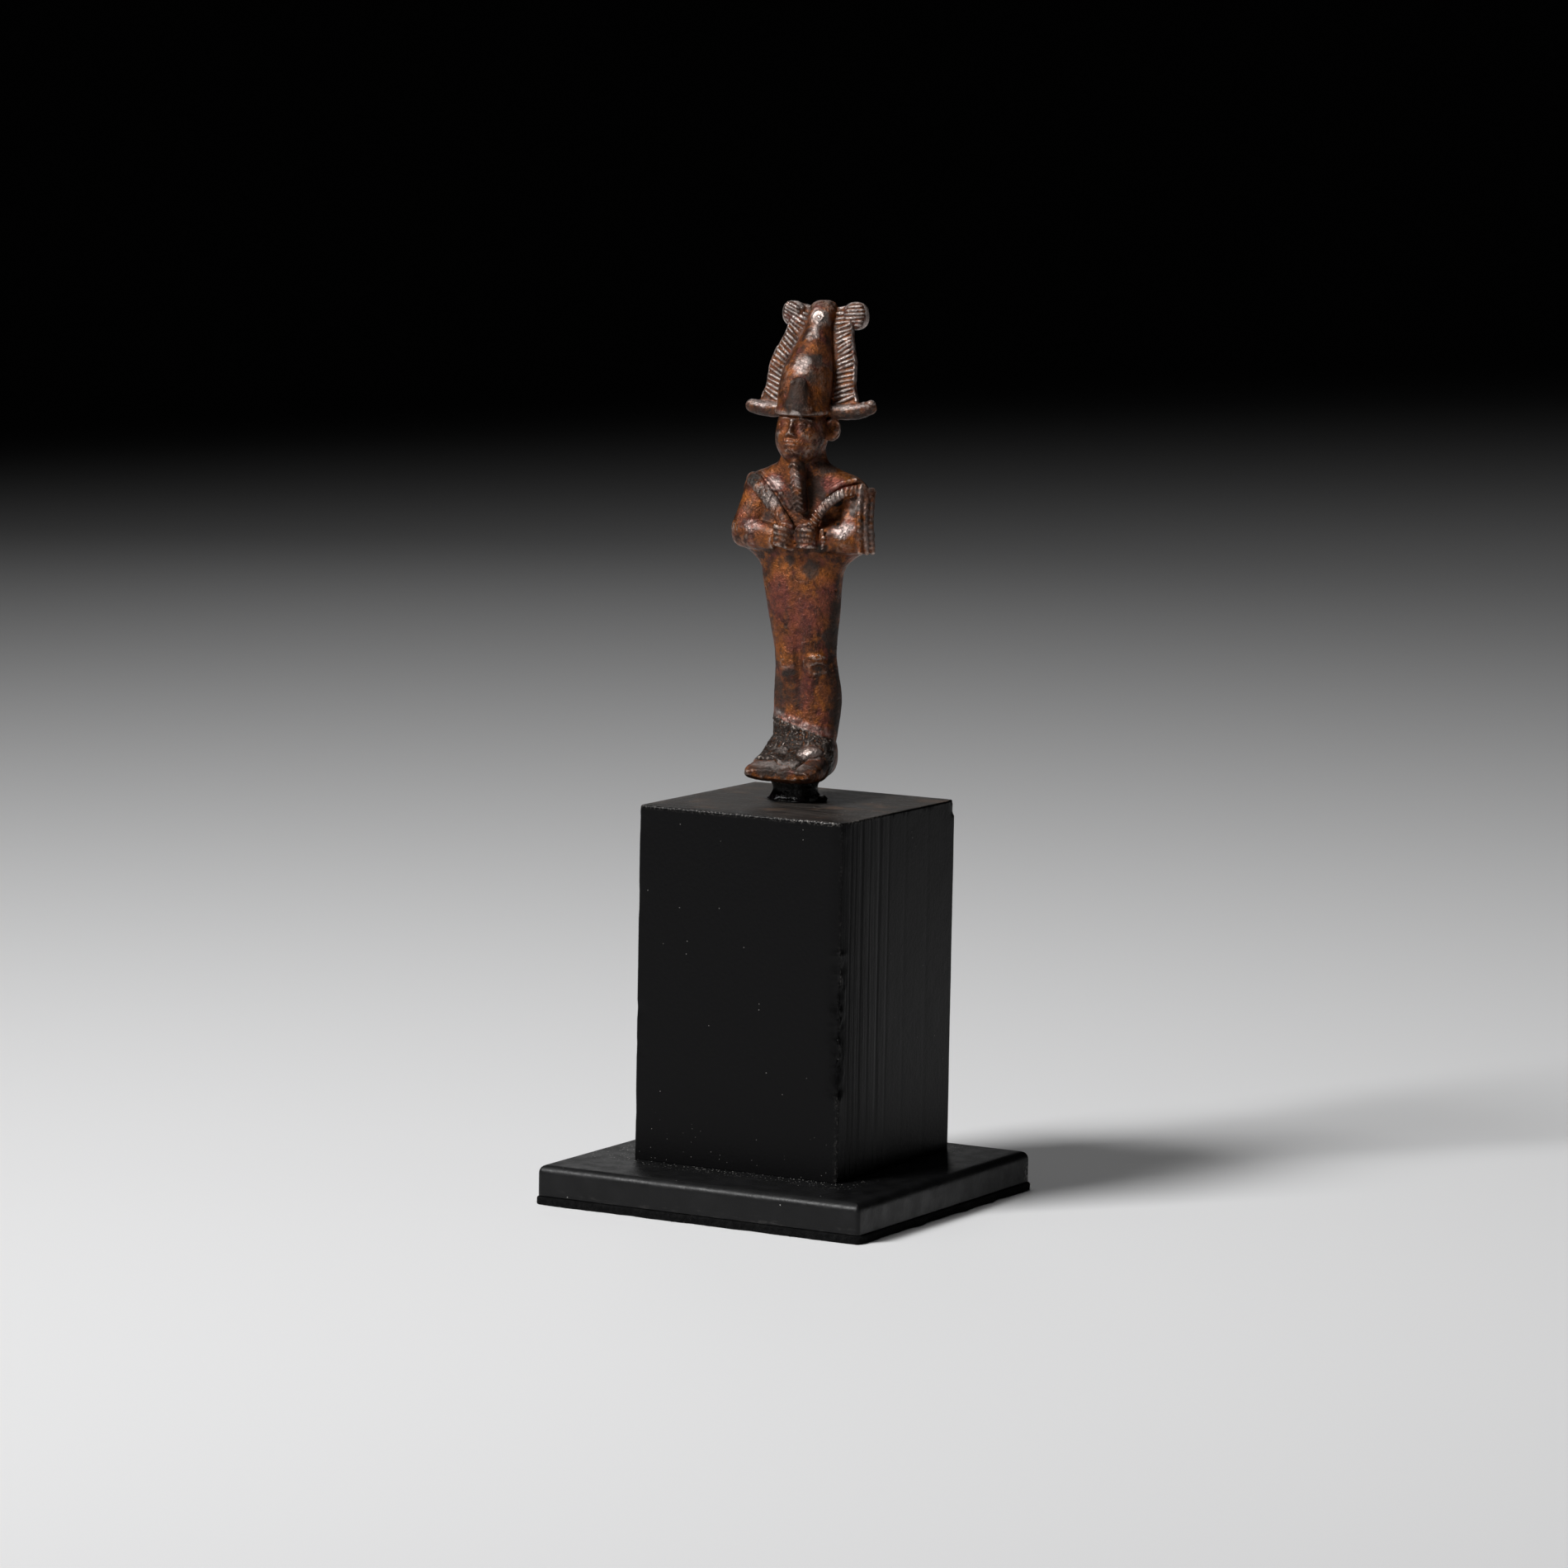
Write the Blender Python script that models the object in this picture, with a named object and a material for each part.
"""Osiris statuette: a small cast bronze figure stuck with black putty to a black wooden block,
which stands on a base plate with a felt pad under it.

Metres, +Z up. The origin is under the middle of the felt pad, and the plinth's front faces -Y.
The figure is carved in its own frame: origin under the ankles, front to -Y, its left to +X.
"""

import math
from bisect import bisect_right

import bmesh
import bpy
from mathutils import Matrix, Vector

# Plinth
FELT_THICKNESS = 0.0008
FELT_MARGIN = 0.0004  # how far the felt stands out past the plate
PLATE_WIDTH = 0.0472
PLATE_DEPTH = 0.0457
PLATE_HEIGHT = 0.0040
PLATE_CORNER_ROUND = 0.0006
PLATE_EDGE_ROUND = 0.0011
TIGHTEST_CORNER = 0.00015  # where the rounded edge has drawn a corner in
BLOCK_WIDTH = 0.0300
BLOCK_DEPTH = 0.0294
BLOCK_HEIGHT = 0.0457
BLOCK_EDGE_ROUND = 0.00025
BLOCK_SHIFT_X = -0.0006  # from the plate's middle
BLOCK_SHIFT_Y = 0.0026
CHIP_DEPTH = 0.0005  # lost from the block's top back right corner
CHIP_HEIGHT = 0.0022
CHIP_LEAN = (4.0, -6.0, 40.0)  # degrees about x, y and z
SEAT_GAP = 0.0003  # between pieces that touch

# Putty stub between the block and the figure
STUB_WIDTH = 0.0056
STUB_DEPTH = 0.0046
STUB_HEIGHT = 0.0018
STUB_FLARE = 0.0004  # how far its two ends spread
STUB_LEVELS = (0.0, 0.14, 0.34, 0.62, 0.86, 1.0)
STUB_SIDES = 20
STUB_SQUARENESS = 3.0
STUB_LUMPINESS = 0.04

# Figure
FIGURE_HEIGHT = 0.06155
FIGURE_TURN = 5.0  # degrees, to its own left
FIGURE_SHIFT_X = -0.0015  # ankles from the block's middle
FIGURE_SHIFT_Y = 0.0050
STUB_UNDER_FEET = (-0.35, -2.9)  # middle of the stub in the figure's frame, in carving units

# The carving's sizes are shares of the figure's height: one unit is 1/61.55 of it
UNIT = FIGURE_HEIGHT / 61.55
SOLE = -0.35  # underside of the feet; heights are counted from the level of the heels

# Body under its shroud, from inside the foot wedge to the neck:
# height, middle x, middle y, half width, depth in front, depth behind, squareness
BODY = (
    (1.4, -0.45, -0.6, 3.9, 2.4, 2.0, 2.4),
    (6.4, -0.35, 0.0, 4.35, 2.4, 2.3, 2.5),
    (10.4, -0.3, 0.2, 4.55, 2.4, 2.6, 2.4),
    (15.9, -0.5, -0.1, 4.15, 2.6, 2.1, 2.4),
    (21.4, -0.85, -0.2, 4.85, 2.8, 2.8, 2.4),
    (25.4, -1.05, -0.4, 5.35, 2.7, 3.1, 2.4),
    (27.2, -1.0, -0.4, 5.8, 2.5, 2.7, 2.4),
    (28.5, -0.9, -0.4, 7.0, 2.5, 2.4, 2.4),
    (29.5, -0.85, -0.5, 8.5, 2.7, 2.2, 2.4),
    (31.2, -0.8, -0.5, 9.7, 2.6, 2.1, 2.4),
    (33.0, -0.8, -0.4, 9.3, 2.4, 2.3, 2.6),
    (35.2, -0.8, -0.2, 8.8, 2.3, 2.5, 2.7),
    (37.6, -0.9, 0.0, 8.6, 2.3, 2.5, 2.6),
    (38.9, -1.1, 0.0, 7.4, 2.3, 2.4, 2.3),
    (39.8, -1.2, -0.1, 5.1, 2.3, 2.3, 2.1),
    (40.8, -1.15, -0.5, 3.35, 2.3, 2.5, 2.0),
    (43.4, -1.1, -1.1, 2.9, 2.2, 2.6, 2.0),
)
KNEE_HEIGHT = 14.6
KNEE_SPREAD = 2.1
KNEE_RISE = 0.35
KNEE_REACH = (1.1, 1.6)  # sideways and upwards
LEG_GROOVE_DEPTH = 0.35
LEG_GROOVE_HEIGHT = 15.5
LEG_GROOVE_REACH = (0.6, 6.5)  # sideways and upwards

# Foot wedge from the heel to the toes: y, middle x, half width, underside, top, squareness
FEET = (
    (2.5, -0.2, 3.2, 0.3, 4.0, 2.6),
    (1.2, -0.3, 3.9, -0.3, 6.0, 3.0),
    (-1.6, -0.35, 4.4, SOLE, 6.2, 3.2),
    (-3.8, -0.35, 4.75, SOLE, 3.9, 3.2),
    (-6.0, -0.35, 4.95, -0.2, 2.7, 3.4),
    (-8.0, -0.4, 4.95, 0.1, 2.1, 3.4),
    (-8.8, -0.4, 4.4, 0.5, 1.6, 2.8),
)
TOE_CREASE_DEPTH = 0.35
TOE_CREASE_REACH = 0.6
TOE_CREASE_START = -3.0  # y

# Head: middle, backward tilt, half sizes
HEAD_MIDDLE = (-1.1, -1.35, 44.3)
HEAD_TILT = 15.0
HEAD_HALF_WIDTH = 3.35
HEAD_HALF_DEPTH = 3.35
HEAD_HALF_HEIGHT = 3.9
HEAD_SQUARENESS = 2.6  # seen from the side
HEAD_ROUNDNESS = 2.2  # seen from above
HEAD_CUTS = (-0.985, 0.715)  # where it starts and ends, in shares of its half height
JAW_NARROWING = 0.16
FACE_CROWDING = 0.45  # how much closer together the face's points are than the back's
EAR_PLACE = (3.75, 0.8, 0.95)
EAR_HALVES = (1.15, 0.55, 1.5)
EAR_DISH = 0.45
EAR_TURN = 28.0

# Face, a row for each swelling or hollow: how far it stands out, its height and reach, and how
# far aside it is and its reach there, where 0 is the middle line and 1 is beside the ears
FACE = (
    (0.28, 1.35, 0.32, 0.0, 0.75),  # brow
    (-0.30, 0.75, 0.45, 0.42, 0.20),  # eye sockets
    (0.22, 0.70, 0.30, 0.42, 0.15),  # eyes
    (0.26, -1.62, 0.17, 0.0, 0.30),  # upper lip
    (0.26, -2.08, 0.20, 0.0, 0.30),  # lower lip
    (-0.16, -1.84, 0.12, 0.0, 0.34),  # mouth
    (0.30, -2.75, 0.45, 0.0, 0.34),  # chin
    (0.12, -0.70, 0.80, 0.50, 0.25),  # cheeks
)
NOSE = (0.25, 0.95, 0.1, 1.05, 0.13)  # relief at its root and its tip, height, reach, reach aside
NOSE_ROOT = 1.5
NOSE_LENGTH = 2.4

# Tall crown along its height: height, middle x, middle y, half width, half depth
CROWN = (
    (46.7, -1.1, -1.25, 3.35, 3.45),
    (48.0, -1.1, -0.95, 3.40, 3.45),
    (50.6, -1.1, -0.40, 3.50, 3.35),
    (52.8, -1.1, 0.35, 3.25, 3.10),
    (54.9, -1.1, 1.55, 2.60, 2.60),
    (57.2, -1.1, 2.95, 1.90, 2.00),
    (58.8, -1.1, 3.85, 1.70, 1.75),
    (60.1, -1.1, 4.60, 1.85, 1.65),
    (60.9, -1.1, 5.00, 1.45, 1.25),
    (61.2, -1.1, 5.10, 0.80, 0.70),
)
COBRA = ((48.2, 0.45), (49.4, 0.15), (50.9, -0.05))  # height, behind the crown's front
COBRA_ASIDE = 0.45
COBRA_HALF_WIDTH = 1.62
COBRA_TAPER = 0.32
COBRA_FLATNESS = 0.7
COBRA_ENDS = 0.8

# Plumes: height, nearest to the crown's middle line, outer edge, behind the crown's middle
PLUME = (
    (47.3, 1.2, 7.0, 1.9),
    (48.8, 1.4, 6.4, 1.9),
    (52.6, 1.2, 5.95, 1.7),
    (55.6, 0.9, 4.95, 1.3),
    (57.6, 0.6, 4.55, 1.0),
    (60.2, 0.9, 4.65, 0.6),
)
PLUME_HALF_THICKNESS = 0.50
PLUME_RIM = 0.55  # thickness of its outer edge, as a share
PLUME_RIB_PITCH = 0.78
PLUME_RIB_DEPTH = 0.16
PLUME_RIB_SLOPE = 0.2
KNOB_SPREAD = 4.2
KNOB_HEIGHT = 59.4
KNOB_RADIUS = 1.65
KNOB_HALF_DEPTH = 0.8
KNOB_BACK = 0.5
LEFT_KNOB_GROWTH = 1.1

# Horns: outward from the crown's middle line, behind, height, radius; only the left tip turns up
HORN = (
    (2.0, 1.1, 47.4, 0.75),
    (4.4, 1.5, 47.2, 0.95),
    (6.6, 1.8, 47.3, 1.0),
    (8.0, 1.9, 47.5, 0.9),
)
LEFT_HORN_LIFT = 0.45
LEFT_HORN_REACH = 1.07

# Folded arms: x is outward from the chest's middle line, the same on both sides
CHEST_MIDDLE = -0.8
UPPER_ARM = ((6.3, -0.3, 36.3, 2.4), (6.7, -0.9, 34.2, 2.45), (7.7, -1.4, 31.6, 2.3))
FOREARM = ((8.4, -1.4, 31.2, 1.85), (6.2, -2.2, 31.2, 2.0), (3.4, -2.7, 31.0, 1.75))
ARM_FLATNESS = 0.8
FIST_MIDDLE = 0.35
FIST_SPREAD = 1.62
FIST_FORWARD = -3.7
FIST_HEIGHT = 31.3
FIST_HALF_WIDTH = 1.6
FIST_HALF_DEPTH = 1.5
FIST_HALF_HEIGHT = 1.5
FIST_SQUARENESS = 3.0
FIST_ENDS = 0.72  # girth of its top and underside, as a share
FINGERS = 4

# Plaited beard, crook and flail: points are x, y, height, and each strand of the flail
# passes three points, out from the chest's middle line and y, from its top down
BEARD_TOP = (-0.75, -3.7, 41.1)
BEARD_TIP = (-0.15, -3.15, 34.8)
BEARD_PLAITS = 8
BEARD_RADII = (1.0, 0.78)
BEARD_DEPTH = 1.3  # over its width
BEARD_NOTCH = 0.12
ROD_NOTCH = 0.2
CROOK = ((-1.7, -4.0, 32.4), (-4.3, -2.9, 35.2), (-6.5, -2.4, 37.4), (-8.0, -1.4, 38.2))
CROOK_RADIUS = 0.95
CROOK_RIBS = 10
CROOK_FLATNESS = 0.8
FLAIL = ((1.7, -4.1, 32.4), (2.9, -3.4, 35.0), (5.2, -2.6, 37.0), (7.6, -1.5, 37.75))
FLAIL_RADIUS = 0.78
FLAIL_RIBS = 12
STRAND_TOP = 37.0
STRAND_FOOT = 29.7
STRAND_RADIUS = 0.42
STRAND_BEADS = 8
STRANDS = (
    ((8.35, -1.95), (8.65, -2.8), (8.9, -2.85)),
    ((8.9, -1.3), (9.2, -2.2), (9.5, -2.25)),
    ((9.4, -0.5), (9.7, -1.5), (10.0, -1.5)),
)
COLLAR_HEIGHT = 37.3
COLLAR_RADIUS = 0.6
COLLAR_BACK = 0.15

BODY_SIDES = 26
HEAD_SIDES = 26
HEAD_RINGS = 18
CROWN_SIDES = 18
ROUND_STEPS = 4  # across a rounded corner or edge
SHARP_ANGLE = 40.0


def clear_scene():
    for item in list(bpy.data.objects):
        bpy.data.objects.remove(item, do_unlink=True)


def finish(name, colour, roughness, metallic):
    material = bpy.data.materials.new(name)
    material.use_nodes = True
    shader = material.node_tree.nodes["Principled BSDF"]
    shader.inputs["Base Color"].default_value = (*colour, 1.0)
    shader.inputs["Roughness"].default_value = roughness
    shader.inputs["Metallic"].default_value = metallic
    return material


def bronze():
    return finish("worn_bronze", (0.27, 0.12, 0.06), 0.42, 0.8)


def putty():
    return finish("black_putty", (0.012, 0.011, 0.012), 0.35, 0.0)


def black_wood():
    return finish("black_wood", (0.020, 0.020, 0.021), 0.45, 0.0)


def black_lacquer():
    return finish("black_lacquer", (0.016, 0.016, 0.017), 0.36, 0.0)


def black_felt():
    return finish("black_felt", (0.010, 0.010, 0.011), 0.95, 0.0)


def add_object(name, mesh_data, material):
    """An object from a bmesh whose points are in metres, shaded smooth with sharp creases."""
    mesh = bpy.data.meshes.new(name)
    bmesh.ops.recalc_face_normals(mesh_data, faces=mesh_data.faces)
    mesh_data.to_mesh(mesh)
    mesh_data.free()
    mesh.shade_smooth()
    mesh.set_sharp_from_angle(angle=math.radians(SHARP_ANGLE))
    mesh.materials.append(material)
    item = bpy.data.objects.new(name, mesh)
    bpy.context.scene.collection.objects.link(item)
    return item


def reading(stations, at):
    """The columns of a station table at one place, on a smooth curve through its rows."""
    keys = [row[0] for row in stations]
    last = len(keys) - 1
    span = max(0, min(bisect_right(keys, at) - 1, last - 1))
    low, high = keys[span], keys[span + 1]
    step = high - low
    share = (at - low) / step

    def slope(row, column):
        before, after = max(row - 1, 0), min(row + 1, last)
        rise = stations[after][column] - stations[before][column]
        return rise / (keys[after] - keys[before])

    values = []
    for column in range(1, len(stations[0])):
        start, end = stations[span][column], stations[span + 1][column]
        lean_in, lean_out = slope(span, column) * step, slope(span + 1, column) * step
        values.append(
            (2 * share**3 - 3 * share**2 + 1) * start
            + (share**3 - 2 * share**2 + share) * lean_in
            + (3 * share**2 - 2 * share**3) * end
            + (share**3 - share**2) * lean_out
        )
    return values


def steps_between(stations, parts):
    """Places along a station table, each span cut into equal parts."""
    places = []
    for low, high in zip(stations, stations[1:]):
        places += [low[0] + (high[0] - low[0]) * part / parts for part in range(parts)]
    return places + [stations[-1][0]]


def round_off(turn, squareness):
    """A point of a circle of radius 1 that is pushed out towards a square."""
    power = 2 / squareness
    across, along = math.cos(turn), math.sin(turn)
    return (
        math.copysign(abs(across) ** power, across),
        math.copysign(abs(along) ** power, along),
    )


def skin(rings):
    """A closed surface over rings of points with equal counts; points are in carving units."""
    mesh_data = bmesh.new()
    loops = [[mesh_data.verts.new(Vector(point) * UNIT) for point in ring] for ring in rings]
    for lower, upper in zip(loops, loops[1:]):
        for index in range(len(lower)):
            after = (index + 1) % len(lower)
            mesh_data.faces.new((lower[index], lower[after], upper[after], upper[index]))
    for loop in (loops[0], loops[-1]):
        middle = sum((corner.co for corner in loop), Vector()) / len(loop)
        tip = mesh_data.verts.new(middle)
        for index in range(len(loop)):
            mesh_data.faces.new((loop[index], loop[(index + 1) % len(loop)], tip))
    return mesh_data


def through(points, share):
    """A point on a smooth curve through hand-set points, and the way it runs there."""
    table = [(index, *point) for index, point in enumerate(points)]
    at = share * (len(points) - 1)
    here = Vector(reading(table, at))
    nudge = 0.01
    ahead = Vector(reading(table, min(at + nudge, len(points) - 1)))
    behind = Vector(reading(table, max(at - nudge, 0)))
    return here, (ahead - behind).normalized()


def tube(points, radius_at, sides, steps, flatness=1.0, ends=1.0, back_radius_at=None):
    """A tube with round ends along a curve.

    Flatness is its depth over its width. Its back, which lies in the body, may have its own radius.
    """
    rings = []
    shares = [step / steps for step in range(steps + 1)]
    cap_turns = (math.radians(75), math.radians(40))
    front = Vector((0, -1, 0))
    back_radius_at = back_radius_at or radius_at

    def ring(share, shrink, offset):
        here, way = through(points, share)
        side = way.cross(front).normalized()
        out = side.cross(way).normalized()
        here = here + way * offset
        corners = []
        for index in range(sides):
            turn = 2 * math.pi * index / sides
            radius = (radius_at if math.sin(turn) > 0 else back_radius_at)(share) * shrink
            corners.append(
                here + side * (radius * math.cos(turn)) + out * (radius * flatness * math.sin(turn))
            )
        return corners

    for turn in cap_turns:
        rings.append(ring(0, math.cos(turn), -radius_at(0) * ends * math.sin(turn)))
    rings += [ring(share, 1, 0) for share in shares]
    for turn in reversed(cap_turns):
        rings.append(ring(1, math.cos(turn), radius_at(1) * ends * math.sin(turn)))
    return skin(rings)


def swell(distance, reach):
    """A smooth hump, 1 at its middle."""
    return math.exp(-((distance / reach) ** 2))


def body_ring(height):
    """The body's outline at one height, with the knees and the groove between the legs."""
    knee_aside, knee_up = KNEE_REACH
    groove_aside, groove_up = LEG_GROOVE_REACH
    middle_x, middle_y, half_width, front, back, squareness = reading(BODY, height)
    points = []
    for index in range(BODY_SIDES):
        across, along = round_off(2 * math.pi * index / BODY_SIDES - math.pi / 2, squareness)
        x = middle_x + half_width * across
        y = middle_y + (front if along < 0 else back) * along
        if along < 0:
            knee = swell(abs(x - middle_x) - KNEE_SPREAD, knee_aside)
            knee *= swell(height - KNEE_HEIGHT, knee_up)
            groove = swell(x - middle_x, groove_aside)
            groove *= swell(height - LEG_GROOVE_HEIGHT, groove_up)
            y += LEG_GROOVE_DEPTH * groove - KNEE_RISE * knee
        points.append((x, y, height))
    return points


def body():
    return skin([body_ring(height) for height in steps_between(BODY, 2)])


def feet():
    """Both feet, wrapped in one wedge, with a crease between them over the toes."""
    sides = 18
    rings = []
    stations = sorted(FEET)
    for y in steps_between(stations, 2):
        middle_x, half_width, underside, top, squareness = reading(stations, y)
        ring = []
        for index in range(sides):
            across, up = round_off(2 * math.pi * index / sides, squareness)
            level = (underside + top) / 2 + (top - underside) / 2 * up
            if up > 0 and y < TOE_CREASE_START:
                level -= TOE_CREASE_DEPTH * swell(across * half_width, TOE_CREASE_REACH)
            ring.append((middle_x + half_width * across, y, level))
        rings.append(ring)
    return skin(rings)


def face_relief(side, height):
    """How far the face stands out: side is 0 at its middle line and 1 beside the ears."""
    relief = 0.0
    for out, level, level_reach, aside, aside_reach in FACE:
        relief += out * swell(height - level, level_reach) * swell(abs(side) - aside, aside_reach)
    root, tip, level, level_reach, aside_reach = NOSE
    down = max(0.0, min(1.0, (NOSE_ROOT - height) / NOSE_LENGTH))
    ridge = root + (tip - root) * down
    return relief + ridge * swell(side, aside_reach) * swell(height - level, level_reach)


def head_frame():
    tilt = Matrix.Rotation(-math.radians(HEAD_TILT), 4, "X")
    return Matrix.Translation(Vector(HEAD_MIDDLE)) @ tilt


def head():
    """The head with its face, up to where the crown covers it."""
    rings = []
    low, high = HEAD_CUTS
    for step in range(HEAD_RINGS + 1):
        rise = low + (high - low) * step / HEAD_RINGS
        height = HEAD_HALF_HEIGHT * rise
        girth = (1 - abs(rise) ** HEAD_SQUARENESS) ** (1 / HEAD_SQUARENESS)
        jaw = 1 - JAW_NARROWING * max(0.0, -rise) ** 1.5
        ring = []
        for index in range(HEAD_SIDES):
            turn = 2 * math.pi * index / HEAD_SIDES
            turn -= FACE_CROWDING * math.sin(turn)
            across, along = round_off(turn - math.pi / 2, HEAD_ROUNDNESS)
            side = min(turn, 2 * math.pi - turn) / (math.pi / 2)
            lift = face_relief(math.copysign(side, across), height) if side < 1.2 else 0.0
            x = HEAD_HALF_WIDTH * girth * jaw * across
            y = HEAD_HALF_DEPTH * girth * along
            outward = Vector((x, y, 0)).normalized() * lift
            ring.append(head_frame() @ Vector((x + outward.x, y + outward.y, height)))
        rings.append(ring)
    return skin(rings)


def ear(side):
    """A dished ear, turned forward."""
    centre = Vector((side * EAR_PLACE[0], *EAR_PLACE[1:]))
    wide, deep, tall = EAR_HALVES
    shell = bmesh.new()
    bmesh.ops.create_uvsphere(shell, u_segments=8, v_segments=6, radius=1.0)
    for vertex in shell.verts:
        dish = EAR_DISH * swell(vertex.co.x, 0.55) * swell(vertex.co.z, 0.6) * (vertex.co.y < 0)
        point = Vector((vertex.co.x * wide, vertex.co.y * deep + dish, vertex.co.z * tall))
        point = Matrix.Rotation(side * math.radians(EAR_TURN), 3, "Z") @ point
        vertex.co = (head_frame() @ (centre + point)) * UNIT
    return shell


def crown():
    rings = []
    for height in steps_between(CROWN, 2):
        middle_x, middle_y, half_width, half_depth = reading(CROWN, height)
        rings.append(
            [
                (
                    middle_x + half_width * math.cos(2 * math.pi * index / CROWN_SIDES),
                    middle_y + half_depth * math.sin(2 * math.pi * index / CROWN_SIDES),
                    height,
                )
                for index in range(CROWN_SIDES)
            ]
        )
    return skin(rings)


def crown_front(height):
    middle_x, middle_y, _, half_depth = reading(CROWN, height)
    return middle_x, middle_y - half_depth


def cobra():
    """The rearing cobra on the crown's front: a ridge with a round top."""
    points = []
    for height, behind in COBRA:
        x, y = crown_front(height)
        points.append((x + COBRA_ASIDE, y + behind, height))

    def radius(share):
        return COBRA_HALF_WIDTH * (1 - COBRA_TAPER * share)

    return tube(points, radius, 10, 5, COBRA_FLATNESS, COBRA_ENDS)


def plume(side):
    """A flat plume beside the crown, ribbed across on both faces, with a thin outer edge."""
    low, high = PLUME[0][0], PLUME[-1][0]
    rows = 2 * round((high - low) / PLUME_RIB_PITCH)
    columns = 4
    rings = []
    for row in range(rows + 1):
        height = low + (high - low) * row / rows
        inner, outer, back = reading(PLUME, height)
        middle_x, middle_y, _, _ = reading(CROWN, height)
        ring = []
        rib = PLUME_RIB_DEPTH * (row % 2)
        for face in (-1, 1):
            for column in range(columns + 1):
                share = column / columns if face < 0 else 1 - column / columns
                out = inner + (outer - inner) * share
                rim = PLUME_RIM if share == 1 else 1.0
                thickness = (PLUME_HALF_THICKNESS - rib) * rim
                ring.append(
                    (
                        middle_x + side * out,
                        middle_y + back + face * thickness,
                        height + PLUME_RIB_SLOPE * (out - inner),
                    )
                )
        rings.append(ring)
    return skin(rings)


def knob(side):
    """The curled tip of a plume, a thick disc."""
    middle_x, middle_y, _, _ = reading(CROWN, KNOB_HEIGHT)
    disc = bmesh.new()
    bmesh.ops.create_uvsphere(disc, u_segments=12, v_segments=9, radius=1.0)
    growth = LEFT_KNOB_GROWTH if side > 0 else 1.0
    place = Vector((middle_x + side * KNOB_SPREAD * growth, middle_y + KNOB_BACK, KNOB_HEIGHT))
    radius = KNOB_RADIUS * growth
    for vertex in disc.verts:
        point = vertex.co * Vector((radius, KNOB_HALF_DEPTH, radius))
        vertex.co = (place + point) * UNIT
    return disc


def horn(side):
    """A horn out to one side from the crown's foot."""
    middle_x = CROWN[0][1]
    middle_y = CROWN[0][2]
    reach = LEFT_HORN_REACH if side > 0 else 1.0
    lift = LEFT_HORN_LIFT if side > 0 else 0.0
    points = []
    for index, (out, back, level, _) in enumerate(HORN):
        turned_up = lift * (index / (len(HORN) - 1)) ** 2
        points.append((middle_x + side * out * reach, middle_y + back, level + turned_up))
    radii = [(index, row[3]) for index, row in enumerate(HORN)]
    return tube(points, lambda share: reading(radii, share * (len(HORN) - 1))[0], 9, 6)


def arm(side, rows, steps):
    points = [(CHEST_MIDDLE + side * out, y, level) for out, y, level, _ in rows]
    radii = [(index, row[3]) for index, row in enumerate(rows)]
    return tube(
        points, lambda share: reading(radii, share * (len(rows) - 1))[0], 12, steps, ARM_FLATNESS,
        ends=0.8,
    )


def fist(side):
    """A closed hand, with its fingers one above another."""
    sides = 12
    rings = []
    rows = 2 * FINGERS
    place = Vector((CHEST_MIDDLE + FIST_MIDDLE + side * FIST_SPREAD, FIST_FORWARD, FIST_HEIGHT))
    for row in range(rows + 1):
        rise = 2 * row / rows - 1
        girth = FIST_ENDS if row in (0, rows) else 0.9 + 0.1 * (row % 2)
        ring = []
        for index in range(sides):
            across, along = round_off(2 * math.pi * (index + 0.5) / sides, FIST_SQUARENESS)
            ring.append(
                place
                + Vector(
                    (
                        FIST_HALF_WIDTH * girth * across,
                        FIST_HALF_DEPTH * girth * along,
                        FIST_HALF_HEIGHT * rise,
                    )
                )
            )
        rings.append(ring)
    return skin(rings)


def beard():
    """The plaited beard, notched between its plaits."""
    steps = 2 * BEARD_PLAITS
    wide, narrow = BEARD_RADII

    def radius(share):
        return (wide + (narrow - wide) * share) * (1 - BEARD_NOTCH * (round(share * steps) % 2))

    return tube((BEARD_TOP, BEARD_TIP), radius, 8, steps, flatness=BEARD_DEPTH, ends=0.6)


def ribbed_rod(points, radius, ribs, sides=8, flatness=1.0):
    """A rod ribbed in front and on its sides, and smooth behind, where it lies in the body."""
    steps = 2 * ribs

    def swelling(share):
        return radius * (1 - ROD_NOTCH * (round(share * steps) % 2))

    return tube(points, swelling, sides, steps, flatness, back_radius_at=lambda share: radius)


def strand(passes):
    """One beaded strand of the flail, from the shoulder down over the arm."""
    heights = (STRAND_TOP, (STRAND_TOP + STRAND_FOOT) / 2, STRAND_FOOT)
    points = [(CHEST_MIDDLE + out, y, height) for (out, y), height in zip(passes, heights)]
    return ribbed_rod(points, STRAND_RADIUS, STRAND_BEADS, sides=5)


def collar():
    """The band that gathers the flail's strands on the shoulder."""
    tops = [passes[0] for passes in STRANDS]
    points = [(CHEST_MIDDLE + out, y + COLLAR_BACK, COLLAR_HEIGHT) for out, y in tops]
    return tube(points, lambda share: COLLAR_RADIUS, 8, 4)


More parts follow.
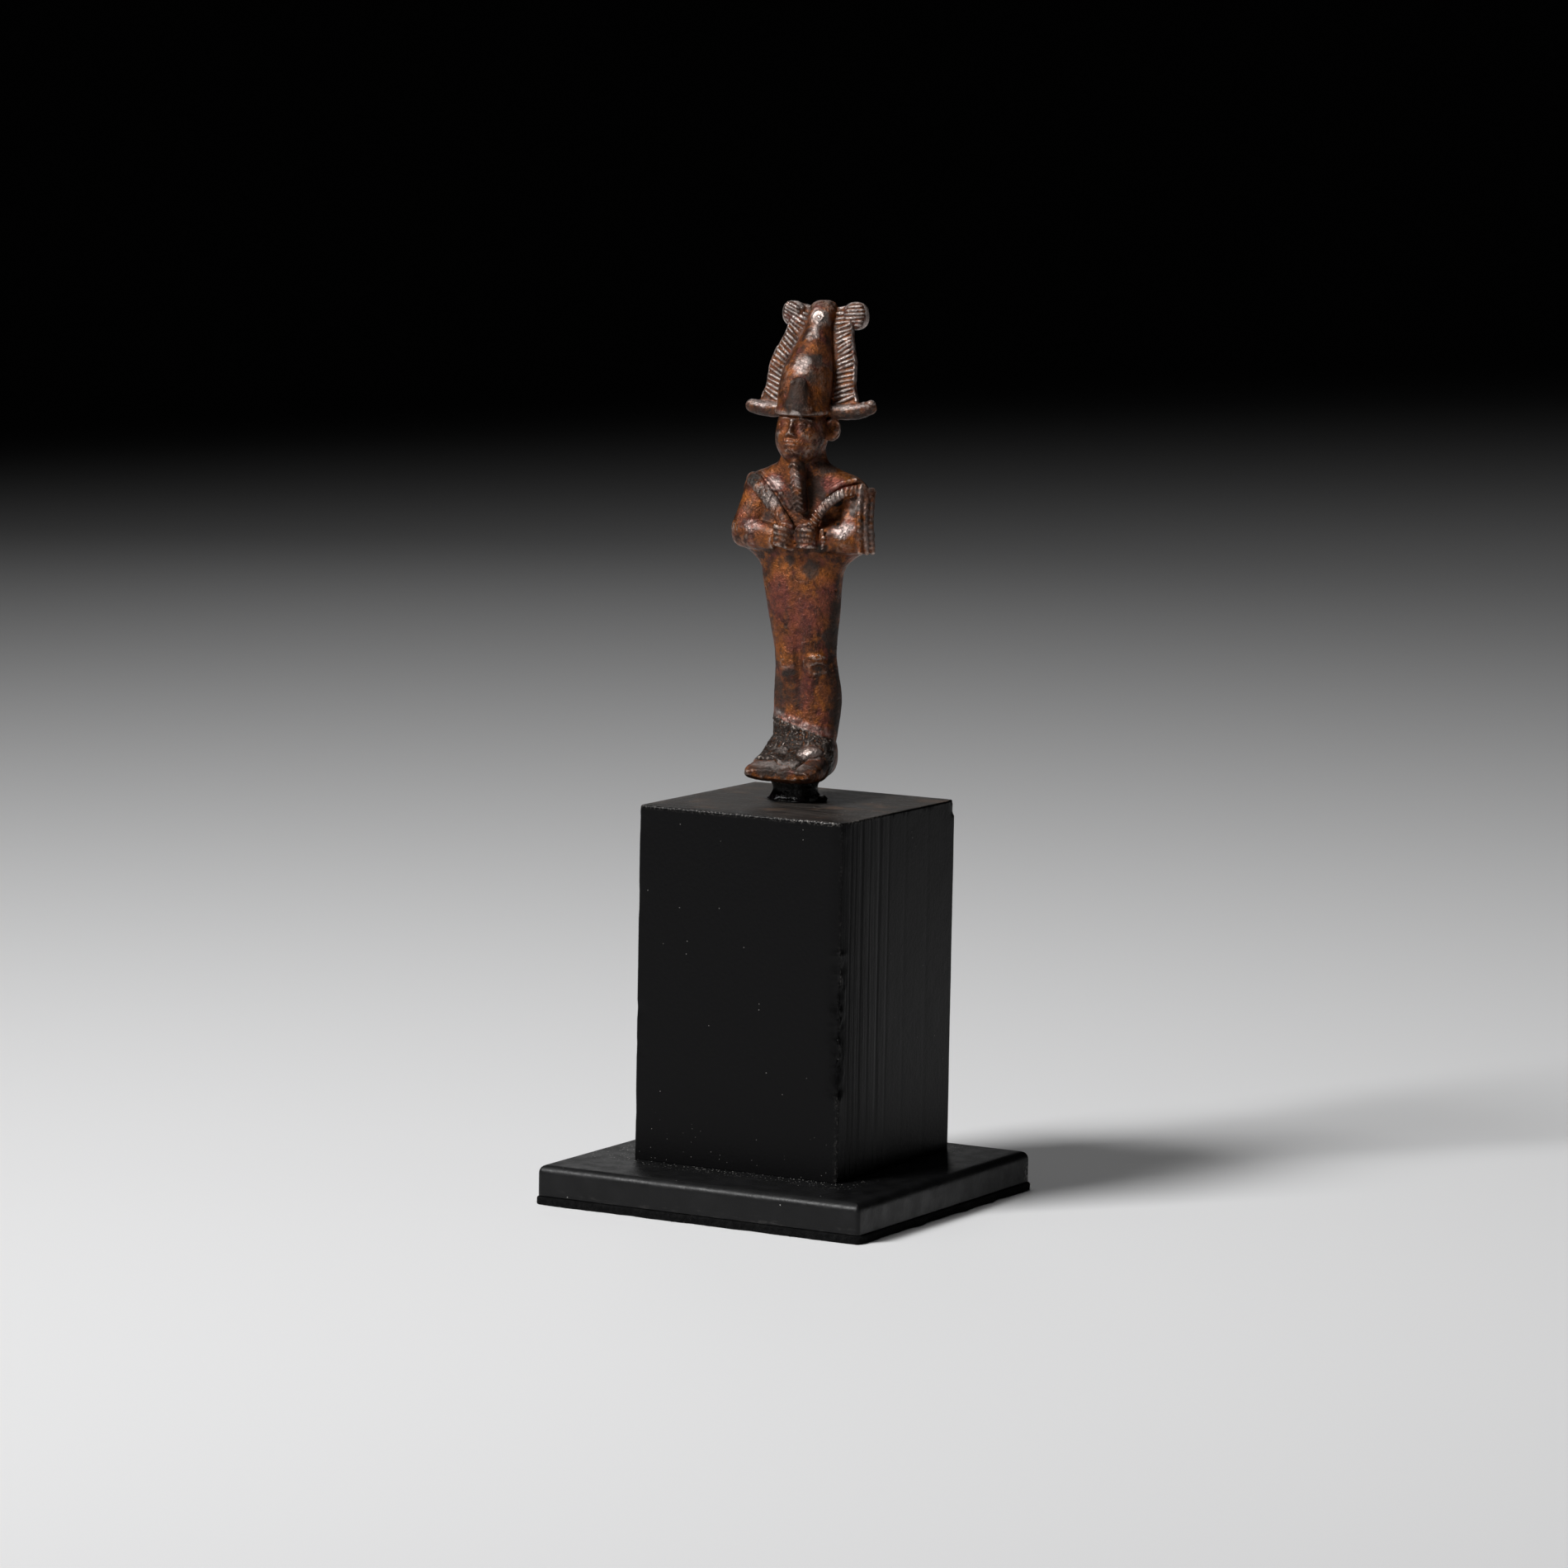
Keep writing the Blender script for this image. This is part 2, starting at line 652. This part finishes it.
def figure_forms():
    """The forms that are cast as one with the body, each with its name."""
    forms = {"feet": feet(), "head": head(), "crown": crown(), "cobra": cobra(), "beard": beard()}
    for side, word in ((-1, "right"), (1, "left")):
        forms[word + "_ear"] = ear(side)
        forms[word + "_plume"] = plume(side)
        forms[word + "_knob"] = knob(side)
        forms[word + "_horn"] = horn(side)
        forms[word + "_upper_arm"] = arm(side, UPPER_ARM, 4)
        forms[word + "_forearm"] = arm(side, FOREARM, 4)
        forms[word + "_fist"] = fist(side)
    forms["crook"] = ribbed_rod(CROOK, CROOK_RADIUS, CROOK_RIBS, flatness=CROOK_FLATNESS)
    forms["flail"] = ribbed_rod(FLAIL, FLAIL_RADIUS, FLAIL_RIBS)
    forms["collar"] = collar()
    for number, passes in enumerate(STRANDS, start=1):
        forms[f"strand_{number}"] = strand(passes)
    return forms


def figure(place, turn):
    """The cast figure: its body with every other form joined to it."""
    metal = bronze()
    spot = bpy.data.objects.new("figure_spot", None)
    bpy.context.scene.collection.objects.link(spot)
    spot.location = place
    spot.rotation_euler = (0, 0, turn)
    group = bpy.data.collections.new("figure_forms")
    bpy.context.scene.collection.children.link(group)
    for name, mesh_data in figure_forms().items():
        form = add_object("form_" + name, mesh_data, metal)
        bpy.context.scene.collection.objects.unlink(form)
        group.objects.link(form)
        form.parent = spot
        form.hide_render = True
        form.display_type = "WIRE"
    whole = add_object("osiris_figure", body(), metal)
    whole.parent = spot
    join = whole.modifiers.new("join_forms", "BOOLEAN")
    join.operation = "UNION"
    join.solver = "EXACT"
    join.operand_type = "COLLECTION"
    join.collection = group
    return whole


def box(name, size, middle, material):
    """A box whose middle is given at its underside."""
    mesh_data = bmesh.new()
    bmesh.ops.create_cube(mesh_data, size=1.0)
    bmesh.ops.scale(mesh_data, vec=size, verts=mesh_data.verts)
    bmesh.ops.translate(mesh_data, vec=(0, 0, size[2] / 2), verts=mesh_data.verts)
    item = add_object(name, mesh_data, material)
    item.location = middle
    return item


def bridge(mesh_data, loops):
    """Joins loops of points with equal counts into one closed skin with flat ends."""
    for lower, upper in zip(loops, loops[1:]):
        for index in range(len(lower)):
            after = (index + 1) % len(lower)
            mesh_data.faces.new((lower[index], lower[after], upper[after], upper[index]))
    mesh_data.faces.new(loops[0])
    mesh_data.faces.new(loops[-1])


def round_edges(item, width):
    """Rounds every edge of a box."""
    mesh_data = bmesh.new()
    mesh_data.from_mesh(item.data)
    edges = list(mesh_data.edges)
    bmesh.ops.bevel(mesh_data, geom=edges, offset=width, segments=2, profile=0.5, affect="EDGES")
    mesh_data.to_mesh(item.data)
    mesh_data.free()
    item.data.shade_smooth()
    item.data.set_sharp_from_angle(angle=math.radians(SHARP_ANGLE))


def slab(name, size, corner, edge_round, foot, material):
    """A slab with rounded corners, and its upper edge rounded unless that round is 0."""
    width, depth, height = size
    levels = [(0.0, 0.0), (height - edge_round, 0.0)]
    for step in range(1, ROUND_STEPS + 1 if edge_round else 1):
        turn = math.pi / 2 * step / ROUND_STEPS
        level = height - edge_round * (1 - math.sin(turn))
        levels.append((level, edge_round * (1 - math.cos(turn))))
    mesh_data = bmesh.new()
    loops = []
    for level, drawn_in in levels:
        radius = max(corner - drawn_in, TIGHTEST_CORNER)
        loop = []
        for quarter, (right, back) in enumerate(((1, 1), (-1, 1), (-1, -1), (1, -1))):
            centre_x = right * (width / 2 - drawn_in - radius)
            centre_y = back * (depth / 2 - drawn_in - radius)
            for step in range(ROUND_STEPS + 1):
                turn = math.pi / 2 * (quarter + step / ROUND_STEPS)
                x = centre_x + radius * math.cos(turn)
                y = centre_y + radius * math.sin(turn)
                loop.append(mesh_data.verts.new((x, y, level)))
        loops.append(loop)
    bridge(mesh_data, loops)
    item = add_object(name, mesh_data, material)
    item.location = (0, 0, foot)
    return item


def felt_pad():
    size = (PLATE_WIDTH + 2 * FELT_MARGIN, PLATE_DEPTH + 2 * FELT_MARGIN, FELT_THICKNESS)
    return slab("felt_pad", size, PLATE_CORNER_ROUND + FELT_MARGIN, 0, 0, black_felt())


def base_plate(foot):
    size = (PLATE_WIDTH, PLATE_DEPTH, PLATE_HEIGHT)
    return slab("base_plate", size, PLATE_CORNER_ROUND, PLATE_EDGE_ROUND, foot, black_lacquer())


def plinth_block(foot):
    """The tall block, with its top back right corner chipped."""
    size = (BLOCK_WIDTH, BLOCK_DEPTH, BLOCK_HEIGHT)
    block = box("plinth_block", size, (BLOCK_SHIFT_X, BLOCK_SHIFT_Y, foot), black_wood())
    round_edges(block, BLOCK_EDGE_ROUND)
    chip_place = (
        BLOCK_SHIFT_X + BLOCK_WIDTH / 2 + CHIP_DEPTH,
        BLOCK_SHIFT_Y + BLOCK_DEPTH / 2 + CHIP_DEPTH,
        foot + BLOCK_HEIGHT - CHIP_HEIGHT,
    )
    chip_size = (CHIP_DEPTH * 4, CHIP_DEPTH * 4, CHIP_HEIGHT * 2)
    chip = box("chip_cutter", chip_size, chip_place, black_wood())
    chip.rotation_euler = [math.radians(angle) for angle in CHIP_LEAN]
    chip.hide_render = True
    chip.display_type = "WIRE"
    cut = block.modifiers.new("chipped_corner", "BOOLEAN")
    cut.operation = "DIFFERENCE"
    cut.solver = "EXACT"
    cut.object = chip
    return block


def mounting_stub(foot, middle, turn):
    """A squeezed lump of putty, wider at both ends than at its waist."""
    mesh_data = bmesh.new()
    loops = []
    for level in STUB_LEVELS:
        spread = STUB_FLARE * (2 * level - 1) ** 2
        loop = []
        for index in range(STUB_SIDES):
            turn_here = 2 * math.pi * index / STUB_SIDES
            across, along = round_off(turn_here, STUB_SQUARENESS)
            lump = 1 + STUB_LUMPINESS * math.sin(3 * turn_here + 2 * level)
            loop.append(
                mesh_data.verts.new(
                    (
                        (STUB_WIDTH / 2 + spread) * lump * across,
                        (STUB_DEPTH / 2 + spread) * lump * along,
                        STUB_HEIGHT * level,
                    )
                )
            )
        loops.append(loop)
    bridge(mesh_data, loops)
    stub = add_object("mounting_stub", mesh_data, putty())
    stub.location = (*middle, foot)
    stub.rotation_euler = (0, 0, turn)
    return stub


def main():
    clear_scene()
    turn = math.radians(FIGURE_TURN)
    plate_foot = FELT_THICKNESS + SEAT_GAP
    block_foot = plate_foot + PLATE_HEIGHT + SEAT_GAP
    stub_foot = block_foot + BLOCK_HEIGHT + SEAT_GAP
    figure_foot = stub_foot + STUB_HEIGHT + SEAT_GAP - SOLE * UNIT
    spot = Vector((BLOCK_SHIFT_X + FIGURE_SHIFT_X, BLOCK_SHIFT_Y + FIGURE_SHIFT_Y, figure_foot))
    under_feet = Matrix.Rotation(turn, 2) @ (Vector(STUB_UNDER_FEET) * UNIT)
    felt_pad()
    base_plate(plate_foot)
    plinth_block(block_foot)
    mounting_stub(stub_foot, spot.xy + under_feet, turn)
    figure(spot, turn)


main()
